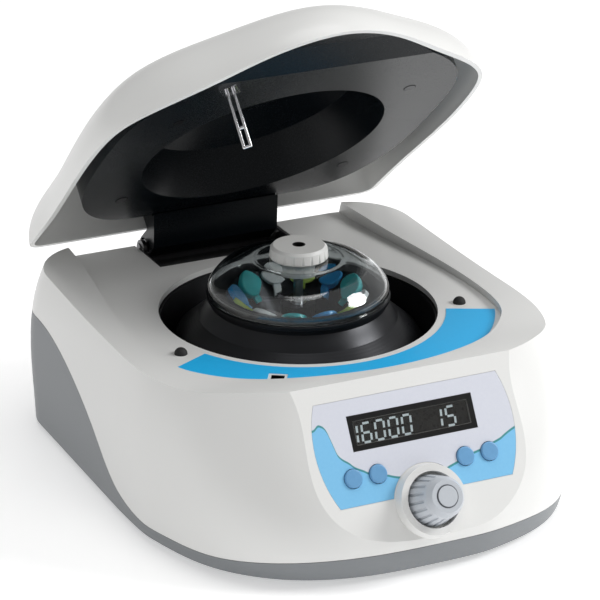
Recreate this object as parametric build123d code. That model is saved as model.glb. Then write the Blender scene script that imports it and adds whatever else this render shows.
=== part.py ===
from build123d import *
import math
import os

# A bench-top microcentrifuge with its lid open. Millimetres, +Z up, front towards -Y.
# The model is drawn about the rotor's axis and moved by spindle_y when it is written out,
# so that the origin lies on the bench under the middle of the open machine.
spindle_y = 21.95

# Heights
foot_height = 4.0
deck_height = 84.0
wall = 3.0
lid_wall = 2.6
seam_gap = 0.3

# Housing outline: widest part, front round and rear corners
widest_y = -28.0
front_roundness = 2.6
rear_corner = 34.0
base_half_width = 115.0
base_rear_y = 118.0
base_front_y = -150.0
belly_height = 34.0
belly_half_width = 116.0
belly_rear_y = 120.0
belly_front_y = -155.0
waist_height = 64.0
waist_half_width = 115.5
waist_rear_y = 119.5
waist_front_y = -140.5
crown_height = 99.0
crown_half_width = 107.0
crown_rear_y = 111.5
crown_front_y = -122.0
side_taper = 3.0

# Top edge of the housing, as heights above the deck from the rear to the front
shoulder_rear_rise = 6.5
shoulder_mid_rise = 3.6
console_rise = 10.5

# Parting line between the white housing and the grey base
parting_rear = 66.0
parting_low = 10.0
parting_front = 16.0

# Deck
deck_rear_half_width = 82.0
deck_half_width = 96.5
deck_front_radius = 106.0
deck_front_angle = 34.0
bowl_opening_radius = 72.8

# Front panel, a plane that leans back
panel_y = -127.7
panel_height = 72.0
panel_lean = 60.0
overlay_thickness = 0.5
window_width = 69.0
window_height = 17.6
button_radius = 4.7
button_inner_x = 24.2
button_outer_x = 37.8
button_drop = 21.5
button_gap = 0.3
button_travel = 0.8
button_height = 1.3
knob_drop = 39.5
collar_radius = 18.0
collar_height = 5.5
collar_bore_radius = 14.2
knob_radius = 13.0
knob_nose_radius = 9.6
knob_length = 19.0
knob_lift = 1.6
knob_rib_count = 18
knob_cap_radius = 5.3
encoder_shaft_radius = 3.0
board_depth = 14.0

# Latch
slot_x = -49.9
slot_y = -78.0
slot_turn = 32.0
slot_width = 6.7
slot_length = 11.4
latch_travel = 4.0
striker_shift = 0.75
bolt_drop = 18.0
bolt_height = 4.6
bolt_thickness = 1.1

# Hinge
hinge_y = 115.0
hinge_rise = -1.0
hinge_pin_radius = 2.5
hinge_barrel_radius = 6.0
hinge_block_half_width = 37.0
notch_half_width = 42.0
notch_front_y = 82.0
notch_depth = 14.0
lid_open_angle = 42.0

# Lid
lid_gap = 1.0
lid_rear_y = 112.5
lid_front_y = -121.0
lid_rise = 46.0
lid_crown_y = -2.0
lid_roundness = 2.35
liner_height = 8.0
liner_wall = 2.2
dish_y = 10.0
dish_radius = 64.0
dish_top_radius = 44.0
dish_depth = 36.0
striker_length = 33.0

# Bowl, motor and their plate
bowl_wall = 2.0
bowl_radius = 71.6
bowl_floor_height = 50.0
bowl_floor_radius = 64.0
gasket_thickness = 1.0
guard_wall = 3.0
plate_height = 44.0
plate_thickness = 3.0
plate_half_width = 76.0
pillar_spacing = 67.0
motor_radius = 37.0
motor_bottom = 9.5
shaft_radius = 4.0

# Rotor
rotor_count = 12
ring_radius = 47.9
ring_rise = 9.7
rotor_skirt_radius = 66.5
rotor_bottom_rise = -29.0
tube_angle = 45.0
tube_circle = 32.0
tube_rise = 5.2
tube_radius = 5.3
tube_fit = 0.05
cap_radius = 6.5
cap_height = 2.6
tube_length = 38.0
tube_tip = 14.0
tube_straight = tube_length - tube_tip
cap_lift = 0.6
dome_wall = 1.6
dome_rise = 28.5
rotor_knob_radius = 15.4
rotor_knob_top = 35.8

# Feet, screw posts and pillars on the floor of the base
foot_radius = 8.0
foot_stem_radius = 3.0
foot_side_inset = 29.0
foot_rear_inset = 20.0
foot_front_inset = 52.0
post_radius = 4.5
post_joint = 30.0
post_side_inset = 17.0
rear_post_side_inset = 19.0
front_post_y = -66.0
rear_post_y = 82.0
damper_height = 6.0

# Boards, switches and bumpers
panel_post_x = 46.0
panel_post_up = 8.0
panel_post_down = 38.0
bumper_x = 79.9
bumper_y = -28.6
bumper_stem_radius = 2.0
drive_board_height = 13.0
drive_board_half_length = 52.0
drive_board_gap = 7.0
drive_board_inset = 11.0
board_thickness = 1.6
board_post_margin = 6.0

# Rear wall: inlet, power switch and vents
rear_face_y = 118.5
rear_fitting_height = 22.0
inlet_x = -58.0
inlet_width = 50.0
inlet_height = 28.0
switch_x = -14.0
switch_width = 22.0
rocker_radius = 14.0
vent_count = 9
vent_start_x = 22.0
vent_pitch = 7.0
vent_width = 3.2
vent_height = 26.0
vent_bottom = 22.0

# Places worked out from the sizes above
hinge_height = deck_height + hinge_rise
board_front = -board_depth
bowl_flange_top = deck_height - wall - gasket_thickness
bowl_flange_radius = bowl_opening_radius + 7.2
pillar_top = plate_height - damper_height
board_inner_x = motor_radius + drive_board_gap
board_outer_x = base_half_width - drive_board_inset
sides = (-1, 1)
button_places = [-button_outer_x, -button_inner_x, button_inner_x, button_outer_x]
panel_posts = [(side * panel_post_x, up) for up in (panel_post_up, -panel_post_down) for side in sides]
screw_posts = [(side * (base_half_width - post_side_inset), front_post_y) for side in sides]
screw_posts += [(side * (base_half_width - rear_post_side_inset), rear_post_y) for side in sides]
pillar_places = [(x * pillar_spacing, y * pillar_spacing) for x in sides for y in sides]
board_post_y = drive_board_half_length - board_post_margin
board_post_rows = (board_inner_x + board_post_margin, board_outer_x - board_post_margin)
board_posts = [(x, side * board_post_y) for x in board_post_rows for side in sides]
foot_x = base_half_width - foot_side_inset
foot_places = [(side * foot_x, base_front_y + foot_front_inset) for side in sides]
foot_places += [(side * foot_x, base_rear_y - foot_rear_inset) for side in sides]
rear_fittings = [(inlet_x, inlet_width, inlet_height), (switch_x, switch_width, inlet_height)]
liner_screw_places = [(side * 65.3, y) for y in (59, -41.5) for side in sides]

panel = Plane(
    origin=(0, panel_y, panel_height),
    x_dir=(1, 0, 0),
    z_dir=(0, -math.sin(math.radians(panel_lean)), math.cos(math.radians(panel_lean))),
)


def mirrored(points):
    """The points of a half outline, from +X round to -X."""
    return points + [(-x, y) for x, y in reversed(points[:-1])]


def housing_outline(half_width, rear_y, front_y, inset=0.0):
    """Housing outline at one height: straight rear and sides, a full round front."""
    half = half_width - inset
    rear = rear_y - inset
    front = front_y + inset
    corner = rear_corner - inset
    rear_half = half - side_taper
    diagonal = corner * math.sqrt(0.5)
    side_end = (rear_half, rear - corner)
    middle = (rear_half - corner + diagonal, rear - corner + diagonal)
    rear_end = (rear_half - corner, rear)
    depth = widest_y - front
    right_curve = []
    for degrees in (0, 15, 30, 45, 60, 75):
        angle = math.radians(degrees)
        x = half * math.cos(angle) ** (2 / front_roundness)
        right_curve.append((x, widest_y - depth * math.sin(angle) ** (2 / front_roundness)))
    right_curve.append((0, front))
    left_curve = [(-x, y) for x, y in reversed(right_curve)]
    edges = [
        Spline(right_curve, tangents=[(0, -1), (-1, 0)]),
        Spline(left_curve, tangents=[(-1, 0), (0, 1)]),
        Line((-half, widest_y), (-side_end[0], side_end[1])),
        ThreePointArc((-side_end[0], side_end[1]), (-middle[0], middle[1]), (-rear_end[0], rear)),
        Line((-rear_end[0], rear), rear_end),
        ThreePointArc(rear_end, middle, side_end),
        Line(side_end, (half, widest_y)),
    ]
    return make_face(edges)


def housing_mass(inset=0.0):
    """The whole outer form of the machine below the lid, as one solid."""
    floor = foot_height + inset
    levels = [
        (floor, base_half_width, base_rear_y, base_front_y),
        (belly_height, belly_half_width, belly_rear_y, belly_front_y),
        (waist_height, waist_half_width, waist_rear_y, waist_front_y),
        (crown_height, crown_half_width, crown_rear_y, crown_front_y),
    ]
    faces = [Pos(0, 0, z) * housing_outline(w, r, f, inset) for z, w, r, f in levels]
    mass = loft(faces)
    mass -= panel * Pos(0, 0, 100 - inset) * Box(500, 500, 200)
    return mass & below_top_edge(-inset)


def profile_solid(points, floor, tangents=None):
    """Everything under a curve drawn from the rear to the front, across the full width."""
    curve = Spline(points, tangents=tangents)
    rear, front = points[0], points[-1]
    sides = Polyline(front, (front[0], floor), (rear[0], floor), rear)
    face = Plane.YZ * make_face([curve, sides])
    return extrude(face, amount=160, both=True)


def below_top_edge(offset=0.0):
    """The space under the housing's top edge, moved up by an offset."""
    heights = [
        (140, shoulder_rear_rise),
        (100, shoulder_rear_rise),
        (55, shoulder_rear_rise - 1.6),
        (0, shoulder_mid_rise),
        (-55, shoulder_mid_rise + 0.4),
        (-84, shoulder_mid_rise + 1.9),
        (-103, console_rise - 1.6),
        (-116, console_rise),
        (-170, console_rise + 1.5),
    ]
    points = [(y, deck_height + rise + offset) for y, rise in heights]
    return profile_solid(points, -20)


def below_parting(offset=0.0):
    """The space under the S-shaped parting line, moved up by an offset."""
    heights = [
        (150, parting_rear - 4.0),
        (112, parting_rear - 2.0),
        (84, parting_rear),
        (56, parting_rear - 4.0),
        (28, parting_rear - 14.5),
        (3, parting_rear - 30.0),
        (-20, parting_low + 8.0),
        (-42, parting_low + 1.0),
        (-80, parting_low),
        (-115, parting_low + 1.5),
        (-145, parting_front),
        (-180, parting_front + 5.0),
    ]
    points = [(y, z + offset) for y, z in heights]
    return profile_solid(points, -20)


def deck_outline(offset=0.0):
    """Outline of the sunken deck, open at the rear: straight sides and a round front."""
    turn = math.radians(deck_front_angle)
    reach = deck_front_radius + offset
    join = (reach * math.cos(turn), -reach * math.sin(turn))
    tangent = (math.sin(turn), math.cos(turn))
    rear = (deck_rear_half_width + offset, 116)
    side_points = [join, (deck_half_width + offset, -20), rear]
    right = Spline(side_points, tangents=[tangent, (-0.06, 1)])
    left_points = [(-x, y) for x, y in reversed(side_points)]
    left = Spline(left_points, tangents=[(-0.06, -1), (tangent[0], -tangent[1])])
    back = Polyline(rear, (rear[0], 150), (-rear[0], 150), (-rear[0], 116))
    front = ThreePointArc((-join[0], join[1]), (0, -reach), join)
    return make_face([right, back, left, front])


def deck_block(offset, bottom):
    """A block with the deck's outline, from a height up past the top edge."""
    return Pos(0, 0, bottom) * extrude(deck_outline(offset), amount=60)


def slot_block(width, length, bottom, top):
    """A block that stands in the latch slot's place and turn."""
    block = Box(width, length, top - bottom, align=(Align.CENTER, Align.CENTER, Align.MIN))
    return Pos(slot_x, slot_y, bottom) * Rot(0, 0, -slot_turn) * block


def cylinder_up(radius, height, x=0.0, y=0.0, z=0.0):
    """An upright cylinder that stands on z."""
    return Pos(x, y, z) * Cylinder(radius, height, align=(Align.CENTER, Align.CENTER, Align.MIN))


def box_up(width, depth, height, x=0.0, y=0.0, z=0.0):
    """A box that stands on z."""
    return Pos(x, y, z) * Box(width, depth, height, align=(Align.CENTER, Align.CENTER, Align.MIN))


def on_panel(shape, x=0.0, drop=0.0, lift=0.0):
    """A shape drawn on XY, set on the front panel: drop runs down the slope, lift out of it."""
    return panel * Pos(x, -drop, lift) * shape


def panel_cylinder(radius, low, high, x=0.0, drop=0.0):
    """A cylinder square to the front panel between two distances from it."""
    solid = Cylinder(radius, high - low, align=(Align.CENTER, Align.CENTER, Align.MIN))
    return on_panel(solid, x, drop, low)


def overlay_outline(offset=0.0):
    """Outline of the printed panel sheet: barrel sides and a bottom edge round the collar."""
    top = 17.0 + offset
    bottom = -35.0 - offset
    half_top = 50.5 + offset
    half_middle = 54.9 + offset
    half_bottom = 47.6 + offset
    side = ThreePointArc((half_bottom, bottom), (half_middle, -5), (half_top, top))
    other = ThreePointArc((-half_top, top), (-half_middle, -5), (-half_bottom, bottom))
    face = make_face([
        side,
        Line((half_top, top), (-half_top, top)),
        other,
        Line((-half_bottom, bottom), (half_bottom, bottom)),
    ])
    return face - Pos(0, -knob_drop) * Circle(collar_radius + 1.2 - offset)


def panel_openings(window_margin):
    """What goes through both the overlay and the housing at the front panel."""
    cutter = on_panel(Box(window_width + window_margin, window_height + window_margin, 20))
    for x in button_places:
        cutter += panel_cylinder(button_radius + button_gap, -10, 10, x, button_drop)
    return cutter


def upper_housing():
    """White upper shell: shoulders, sunken deck, high front console, collar and openings."""
    shell = housing_mass() - below_parting(seam_gap / 2)
    hollow = housing_mass(wall) - deck_block(wall, deck_height - wall)
    shell -= hollow
    shell -= deck_block(0, deck_height)
    shell -= cylinder_up(bowl_opening_radius, 60, z=deck_height - 30)
    shell -= slot_block(slot_width, slot_length, deck_height - 10, deck_height + 10)
    notch_length = 60.0
    notch_floor = deck_height - notch_depth
    notch_middle = notch_front_y + notch_length / 2
    shell -= box_up(2 * notch_half_width, notch_length, 60, 0, notch_middle, notch_floor)
    for side in (-1, 1):
        shell -= cylinder_up(bumper_stem_radius + 0.1, 20, side * bumper_x, bumper_y, deck_height - 10)
    for x, y in screw_posts:
        post = cylinder_up(post_radius, 80, x, y, post_joint + seam_gap / 2)
        post -= cylinder_up(1.3, 18, x, y, post_joint)
        shell += post & housing_mass(wall / 2) - deck_block(0, deck_height - wall / 2)
    collar_base = Pos(0, -knob_drop, -wall) * Circle(collar_radius + 1.2)
    collar_top = Pos(0, -knob_drop, collar_height) * Circle(collar_radius - 0.4)
    collar = panel * loft([collar_base, collar_top])
    shell += collar
    shell -= panel_cylinder(collar_bore_radius, -0.2, 20, 0, knob_drop)
    for x, up in panel_posts:
        shell += panel_cylinder(2.6, board_front + 1.8, -wall / 2, x, -up)
        shell -= panel_cylinder(1.15, board_front + 1, board_front + 6, x, -up)
    shell -= on_panel(extrude(overlay_outline(0.15), amount=5), lift=-overlay_thickness)
    shell -= panel_openings(-6.0)
    shell -= panel_cylinder(3.9, -10, 3, 0, knob_drop)
    return shell


def base_pan():
    """Grey lower shell: floor, walls up to the parting line, pillars, posts and rear openings."""
    pan = housing_mass() & below_parting(-seam_gap / 2)
    pan -= housing_mass(wall)
    floor = foot_height
    for x, y in screw_posts:
        pan += cylinder_up(post_radius, post_joint - seam_gap / 2 - floor, x, y, floor)
        pan -= cylinder_up(1.7, 60, x, y, 0)
        pan -= cylinder_up(3.4, 10, x, y, floor - 1)
    for x, y in pillar_places:
        pan += cylinder_up(6.0, pillar_top - floor, x, y, floor)
        pan -= cylinder_up(1.6, 14, x, y, pillar_top - 14)
    for x, y in board_posts:
        pan += cylinder_up(3.0, drive_board_height - floor, x, y, floor)
        pan -= cylinder_up(1.2, 6, x, y, drive_board_height - 6)
    for x, y in foot_places:
        pan -= cylinder_up(foot_stem_radius, 20, x, y, 0)
    for x, width, height in rear_fittings:
        pan -= box_up(width + 6, 20, height + 6, x, rear_face_y + 10, rear_fitting_height - 3)
        pan -= box_up(width - 4, 40, height - 4, x, rear_face_y, rear_fitting_height + 2)
    for i in range(vent_count):
        x = vent_start_x + i * vent_pitch
        pan -= box_up(vent_width, 30, vent_height, x, base_rear_y, vent_bottom)
    for i in range(-4, 5):
        pan -= box_up(4.0, 36, 20, i * 9.0, -4, 0)
    return pan


def rubber_feet():
    """Four rubber feet, each with a stem pushed into the floor."""
    feet = []
    for x, y in foot_places:
        standing = (Align.CENTER, Align.CENTER, Align.MIN)
        foot = Pos(x, y, 0) * Cone(foot_radius - 1, foot_radius, foot_height, align=standing)
        foot += cylinder_up(foot_stem_radius, wall + 0.8, x, y, foot_height)
        feet.append(foot)
    return Compound(feet)


def housing_screws():
    """Four long screws that hold the upper housing down from below."""
    screws = []
    for x, y in screw_posts:
        screw = cylinder_up(1.25, post_joint + 10 - foot_height, x, y, foot_height + 7)
        screw += cylinder_up(3.0, 2.2, x, y, foot_height + 6.8)
        screws.append(screw)
    return Compound(screws)


def ring(outer, inner, height, z):
    """A flat ring about the rotor's axis that stands on z."""
    return cylinder_up(outer, height, z=z) - cylinder_up(inner, height + 2, z=z - 1)


def revolved(points):
    """A solid of revolution about the rotor's axis from radius and height pairs."""
    face = make_face(Plane.XZ * Polyline(*points, close=True))
    return revolve(face, axis=Axis.Z)


def rotor_bowl():
    """Turned chamber: a flange under the deck, a tapered wall and a round lower edge."""
    top = bowl_flange_top
    floor = bowl_floor_height
    t = bowl_wall
    return revolved([
        (bowl_radius, top),
        (bowl_flange_radius, top),
        (bowl_flange_radius, top - t),
        (bowl_radius + t, top - t),
        (bowl_floor_radius + t + 3, floor + 9),
        (bowl_floor_radius - 2, floor),
        (11, floor),
        (11, floor + t + 2),
        (13, floor + t + 2),
        (13, floor + t),
        (bowl_floor_radius - 3, floor + t),
        (bowl_floor_radius + 3, floor + 9.5),
    ])


def bowl_gasket():
    """Flat rubber ring between the bowl's flange and the deck."""
    return ring(bowl_flange_radius - 1, bowl_opening_radius + 0.5, gasket_thickness, bowl_flange_top)


def guard_ring():
    """Steel ring round the chamber, between the motor plate and the bowl's flange."""
    bottom = plate_height + plate_thickness
    outer = bowl_flange_radius - 0.5
    return ring(outer, outer - guard_wall, bowl_flange_top - bowl_wall - bottom, bottom)


def motor_plate():
    """Square steel plate on four dampers that carries the motor and the guard ring."""
    plate = extrude(RectangleRounded(2 * plate_half_width, 2 * plate_half_width, 14), amount=plate_thickness)
    plate = Pos(0, 0, plate_height) * plate
    plate -= cylinder_up(13, 20, z=plate_height - 5)
    for x, y in pillar_places:
        plate -= cylinder_up(3.2, 20, x, y, plate_height - 5)
    for angle in range(45, 360, 90):
        plate -= Rot(0, 0, angle) * cylinder_up(1.8, 20, 24, 0, plate_height - 5)
    return plate


def motor_dampers():
    """Four rubber bushes between the pillars and the plate, with a waist and a top collar."""
    bushes = []
    for x, y in pillar_places:
        bush = cylinder_up(7.0, damper_height, x, y, pillar_top)
        bush += cylinder_up(3.1, plate_thickness, x, y, plate_height)
        bush += cylinder_up(6.0, 2.0, x, y, plate_height + plate_thickness)
        bush -= cylinder_up(1.8, 40, x, y, pillar_top - 5)
        bushes.append(bush)
    return Compound(bushes)


def plate_screws():
    """Four screws with wide heads that clamp the dampers to the pillars."""
    top = plate_height + plate_thickness + 2.0
    screws = []
    for x, y in pillar_places:
        screw = cylinder_up(1.5, 23, x, y, top - 22.9)
        screw += cylinder_up(5.0, 2.4, x, y, top)
        screws.append(screw)
    return Compound(screws)


def motor_can():
    """Motor body with a stepped top flange, cooling ribs and a bearing boss."""
    body = cylinder_up(motor_radius, plate_height - 4 - motor_bottom, z=motor_bottom)
    body += cylinder_up(31, 4, z=plate_height - 4)
    body += cylinder_up(12.5, plate_thickness, z=plate_height)
    for i in range(5):
        body -= ring(motor_radius + 1, motor_radius - 1.5, 2.0, motor_bottom + 5 + 4.6 * i)
    body -= cylinder_up(shaft_radius + 0.05, 60, z=motor_bottom + 4)
    for angle in range(45, 360, 90):
        body -= Rot(0, 0, angle) * cylinder_up(1.75, 6, 24, 0, plate_height - 3.6)
    return body


def motor_screws():
    """Four screws through the plate into the motor's flange."""
    screws = []
    for angle in range(45, 360, 90):
        x = 24 * math.cos(math.radians(angle))
        y = 24 * math.sin(math.radians(angle))
        screw = cylinder_up(1.7, plate_thickness + 3.4, x, y, plate_height - 3.4)
        screw += cylinder_up(3.2, 2.0, x, y, plate_height + plate_thickness)
        screws.append(screw)
    return Compound(screws)


def motor_shaft():
    """Steel shaft from the motor up into the rotor, with a drive disc that carries it."""
    rotor_bottom = deck_height + rotor_bottom_rise
    shaft = cylinder_up(shaft_radius, rotor_bottom + 34 - motor_bottom - 6, z=motor_bottom + 6)
    shaft += cylinder_up(9.0, 2.0, z=rotor_bottom - 2.0)
    shaft += cylinder_up(2.4, 12, z=rotor_bottom + 34)
    return shaft


def tube_frame(index):
    """Place of one tube: its cap's underside on the rotor's cone, pointing out and down."""
    turn = 360.0 * index / rotor_count
    place = Pos(tube_circle, 0, deck_height + tube_rise)
    return Rot(0, 0, turn) * place * Rot(0, -tube_angle, 0)


def rotor_body():
    """Black angle rotor: a flared skirt, a conical face inside the ring and tilted bores."""
    bottom = deck_height + rotor_bottom_rise
    top = deck_height + ring_rise
    face_low = 19.0
    cone_top_z = top - 0.6
    cone_low_z = deck_height + tube_rise - (tube_circle - face_low)
    cone_top_radius = tube_circle + cone_top_z - deck_height - tube_rise
    body = revolved([
        (shaft_radius + 0.05, bottom),
        (52, bottom),
        (rotor_skirt_radius - 2, bottom + 5),
        (rotor_skirt_radius, bottom + 11),
        (rotor_skirt_radius - 3, bottom + 16),
        (52, top - 13),
        (46.2, top - 5.5),
        (46.2, top - 3.2),
        (ring_radius, top - 2.4),
        (ring_radius, top - 0.8),
        (ring_radius - 1.6, top),
        (cone_top_radius + 1.2, top),
        (cone_top_radius, cone_top_z),
        (face_low, cone_low_z),
        (9, cone_low_z),
        (9, bottom + 34),
        (shaft_radius + 0.05, bottom + 34),
    ])
    for i in range(rotor_count):
        standing = (Align.CENTER, Align.CENTER, Align.MIN)
        bore = Pos(0, 0, -tube_straight) * Cylinder(tube_radius + tube_fit, 60, align=standing)
        bore += Pos(0, 0, -tube_length) * Cone(2.4, tube_radius + tube_fit, tube_tip, align=standing)
        body -= tube_frame(i) * bore
    return body


def sample_tube(index):
    """One tube with its round cap and hinge strap, seated in its bore."""
    standing = (Align.CENTER, Align.CENTER, Align.MIN)
    tube = Pos(0, 0, -tube_straight) * Cylinder(tube_radius, tube_straight, align=standing)
    tip = Pos(0, 0, -tube_length) * Cone(2.2, tube_radius, tube_tip, align=standing)
    cap = Cylinder(cap_radius, cap_height, align=standing)
    cap = fillet(cap.edges().group_by(Axis.Z)[-1], 0.7)
    strap = Pos(-cap_radius - 1.0, 0, 0.4) * Box(4.0, 4.0, 1.2, align=standing)
    return tube_frame(index) * Pos(0, 0, cap_lift) * (tube + tip + cap + strap)


def tube_group(start):
    """Every fourth tube, which share one cap colour."""
    return Compound([sample_tube(i) for i in range(start, rotor_count, 4)])


def rotor_lid():
    """Clear domed rotor lid that stands on the rotor's ring, with a hole for the knob."""
    top = deck_height + ring_rise
    crown = deck_height + dome_rise
    t = dome_wall
    outer = [
        (ring_radius - 0.6, top),
        (ring_radius - 0.6, top + 2.2),
        (ring_radius - 2.0, top + 6.5),
        (ring_radius - 6.5, top + 12.0),
        (ring_radius - 14.0, top + 16.3),
        (ring_radius - 24.0, crown - 0.4),
        (10.0, crown),
    ]
    inner = [
        (10.0, crown - t),
        (ring_radius - 24.5, crown - 0.4 - t),
        (ring_radius - 14.7, top + 16.3 - t),
        (ring_radius - 7.6, top + 12.0 - t),
        (ring_radius - 3.6, top + 6.0),
        (ring_radius - 2.4, top + 2.0),
        (ring_radius - 2.4, top),
    ]
    outer_edge = Polyline(*outer[:2]) + Spline(outer[1:], tangents=[(0, 1), (-1, 0)])
    inner_edge = Spline(inner[:-1], tangents=[(1, 0), (0, -1)]) + Polyline(*inner[-2:])
    closing = [Line(outer[-1], inner[0]), Line(inner[-1], outer[0])]
    face = make_face(Plane.XZ * (outer_edge + inner_edge + closing))
    return revolve(face, axis=Axis.Z)


def rotor_knob():
    """White ribbed clamping knob on a stem, with a round hole in its top."""
    top = deck_height + rotor_knob_top
    crown = deck_height + dome_rise
    knob = revolved([
        (0, crown + 0.3),
        (rotor_knob_radius - 0.8, crown + 0.3),
        (rotor_knob_radius, crown + 1.2),
        (rotor_knob_radius - 0.6, top - 1.4),
        (rotor_knob_radius - 2.0, top),
        (0, top),
    ])
    for i in range(20):
        notch = cylinder_up(0.9, 30, rotor_knob_radius + 0.25, 0, crown - 2)
        knob -= Rot(0, 0, 360.0 * i / 20) * notch
    knob += cylinder_up(8.6, 9.0, z=crown - 8.4)
    knob -= cylinder_up(2.6, 40, z=deck_height + rotor_bottom_rise + 33)
    return knob


def deck_label():
    """Thin printed ring sector in front of the bowl, cut out round the latch slot."""
    sheet = Circle(102.5) - Circle(77.0)
    keep = Polygon((0, 0), (-140, -69), (-140, -160), (140, -160), (140, -67), align=None)
    sheet = sheet & keep
    label = Pos(0, 0, deck_height) * extrude(sheet, amount=0.3)
    return label - slot_block(slot_width + 3.0, slot_length + 3.0, deck_height - 2, deck_height + 5)


def deck_bumpers():
    """Two rubber buttons on the deck that the lid settles on."""
    bumpers = []
    for side in (-1, 1):
        head = Pos(side * bumper_x, bumper_y, deck_height) * Sphere(3.4)
        head &= box_up(10, 10, 10, side * bumper_x, bumper_y, deck_height)
        head += cylinder_up(bumper_stem_radius, wall + 1, side * bumper_x, bumper_y, deck_height - wall - 0.6)
        bumpers.append(head)
    return Compound(bumpers)


def panel_overlay():
    """Thin printed sheet on the front panel with holes for the window and the buttons."""
    sheet = on_panel(extrude(overlay_outline(), amount=overlay_thickness), lift=-overlay_thickness)
    return sheet - panel_openings(0.2)


def display_window():
    """Clear window that fills the overlay's opening and rests on the panel."""
    return on_panel(Box(window_width, window_height, overlay_thickness), lift=-overlay_thickness / 2)


def display_module():
    """Display block behind the window, with its glass face and frame."""
    frame = on_panel(Box(window_width + 7, window_height + 9, 6.0), lift=-wall - 3.1)
    face = on_panel(Box(window_width - 6.6, window_height - 6.6, 2.2), lift=-wall + 1.0)
    return frame + face


def control_board():
    """Circuit board behind the front panel, on the panel's posts."""
    board = on_panel(Box(104, 58, 1.6), 0, 16, board_front + 0.9)
    for x, up in panel_posts:
        board -= panel_cylinder(1.2, board_front - 5, board_front + 5, x, -up)
    return board


def board_screws():
    """Four screws that hold the control board on the panel's posts."""
    screws = []
    for x, up in panel_posts:
        screw = panel_cylinder(1.1, board_front + 0.1, board_front + 4, x, -up)
        screw += panel_cylinder(2.2, board_front - 1.6, board_front + 0.1, x, -up)
        screws.append(screw)
    return Compound(screws)


def button_switches():
    """Four small push switches on the control board under the buttons."""
    switches = []
    for x in button_places:
        body = on_panel(Box(6, 6, 3.6), x, button_drop, board_front + 1.7 + 1.8)
        body += panel_cylinder(1.6, board_front + 5.2, board_front + 6.2, x, button_drop)
        switches.append(body)
    return Compound(switches)


def button(x):
    """One round button: a domed cap and a stem that reaches its switch."""
    cap = Cylinder(button_radius, button_height + 2.6, align=(Align.CENTER, Align.CENTER, Align.MIN))
    cap = fillet(cap.edges().group_by(Axis.Z)[-1], 0.8)
    shape = on_panel(cap, x, button_drop, -2.6)
    shape += panel_cylinder(1.8, board_front + 6.5 + button_travel, -2.6, x, button_drop)
    return shape


def encoder_body():
    """Rotary encoder on the control board, with its threaded bush."""
    body = on_panel(Box(12, 12.6, 6.5), 0, knob_drop, board_front + 1.7 + 3.25)
    body += panel_cylinder(3.5, board_front + 8, -0.8, 0, knob_drop)
    body -= panel_cylinder(encoder_shaft_radius + 0.05, board_front + 3, 10, 0, knob_drop)
    return body


def encoder_shaft():
    """Metal shaft of the encoder, which turns with the knob."""
    return panel_cylinder(encoder_shaft_radius, board_front + 3.6, 12, 0, knob_drop)


def front_knob():
    """Grey conical knob with ribs round its side and a recess for the cap."""
    base = Circle(knob_radius)
    nose = Pos(0, 0, knob_length - 3) * Circle(knob_nose_radius + 0.6)
    knob = loft([base, nose])
    rim = loft([nose, Pos(0, 0, knob_length) * Circle(knob_nose_radius - 1.4)])
    knob += rim
    lean = math.degrees(math.atan((knob_radius - knob_nose_radius - 0.6) / (knob_length - 3)))
    for i in range(knob_rib_count):
        groove = Pos(knob_radius - 0.1, 0, 0) * Rot(0, -lean, 0) * Cylinder(0.8, 2 * (knob_length - 5))
        knob -= Rot(0, 0, 360.0 * i / knob_rib_count) * groove
    standing = (Align.CENTER, Align.CENTER, Align.MIN)
    knob -= Pos(0, 0, knob_length - 1.0) * Cylinder(knob_cap_radius + 0.1, 4, align=standing)
    knob -= Cylinder(encoder_shaft_radius + 0.02, 2 * (12 - knob_lift))
    return on_panel(knob, 0, knob_drop, knob_lift)


def knob_cap():
    """Light round cap in the knob's face."""
    cap = Cylinder(knob_cap_radius, 1.6, align=(Align.CENTER, Align.CENTER, Align.MIN))
    cap = fillet(cap.edges().group_by(Axis.Z)[-1], 0.5)
    return on_panel(cap, 0, knob_drop, knob_lift + knob_length - 1.0)


def latch_frame():
    """Block under the latch slot with a well for the striker and a channel for the bolt."""
    bottom = deck_height - wall - 26
    frame = slot_block(15, 20, bottom, deck_height - wall)
    frame -= slot_block(slot_width + 1, slot_length + 0.6, bottom + 2, deck_height)
    channel = Pos(0, 0, deck_height - bolt_drop) * Box(bolt_thickness + 0.8, 50, bolt_height + 0.8)
    place = Pos(slot_x, slot_y + striker_shift, 0) * Rot(0, 0, -slot_turn)
    frame -= place * Pos(0, 12, 0) * channel
    return frame


def latch_bolt():
    """Flat bolt that slides through the striker's loop to hold the lid shut."""
    bolt = Box(bolt_thickness, 15, bolt_height)
    place = Pos(slot_x, slot_y + striker_shift, deck_height - bolt_drop) * Rot(0, 0, -slot_turn)
    place = place * Pos(0, -slot_length / 2 - 7.6, 0)
    return place * bolt


def lid_outline(inset=0.0):
    """Outline of the lid from above: straight rear, wide middle and a round nose."""
    half = [
        (104.3 - inset, lid_rear_y - 9),
        (104.8 - inset, 62),
        (108.3 - inset, 8),
        (108.0 - inset, -27),
        (102.3 - inset, -53),
        (88 - inset * 0.8, -72 + inset * 0.6),
        (58 - inset * 0.4, -94 + inset * 0.9),
        (28, -113 + inset),
        (0, lid_front_y + inset),
    ]
    curve = Spline(mirrored(half), tangents=[(0, -1), (0, 1)])
    start, end = half[0], (-half[0][0], half[0][1])
    rear = lid_rear_y - inset
    corner = rear - start[1]
    diagonal = corner * (1 - math.sqrt(0.5))
    left_bend = ThreePointArc(end, (end[0] + diagonal, rear - diagonal), (end[0] + corner, rear))
    right_bend = ThreePointArc((start[0] - corner, rear), (start[0] - diagonal, rear - diagonal), start)
    back = Line((end[0] + corner, rear), (start[0] - corner, rear))
    return make_face([curve, left_bend, back, right_bend])


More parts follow.
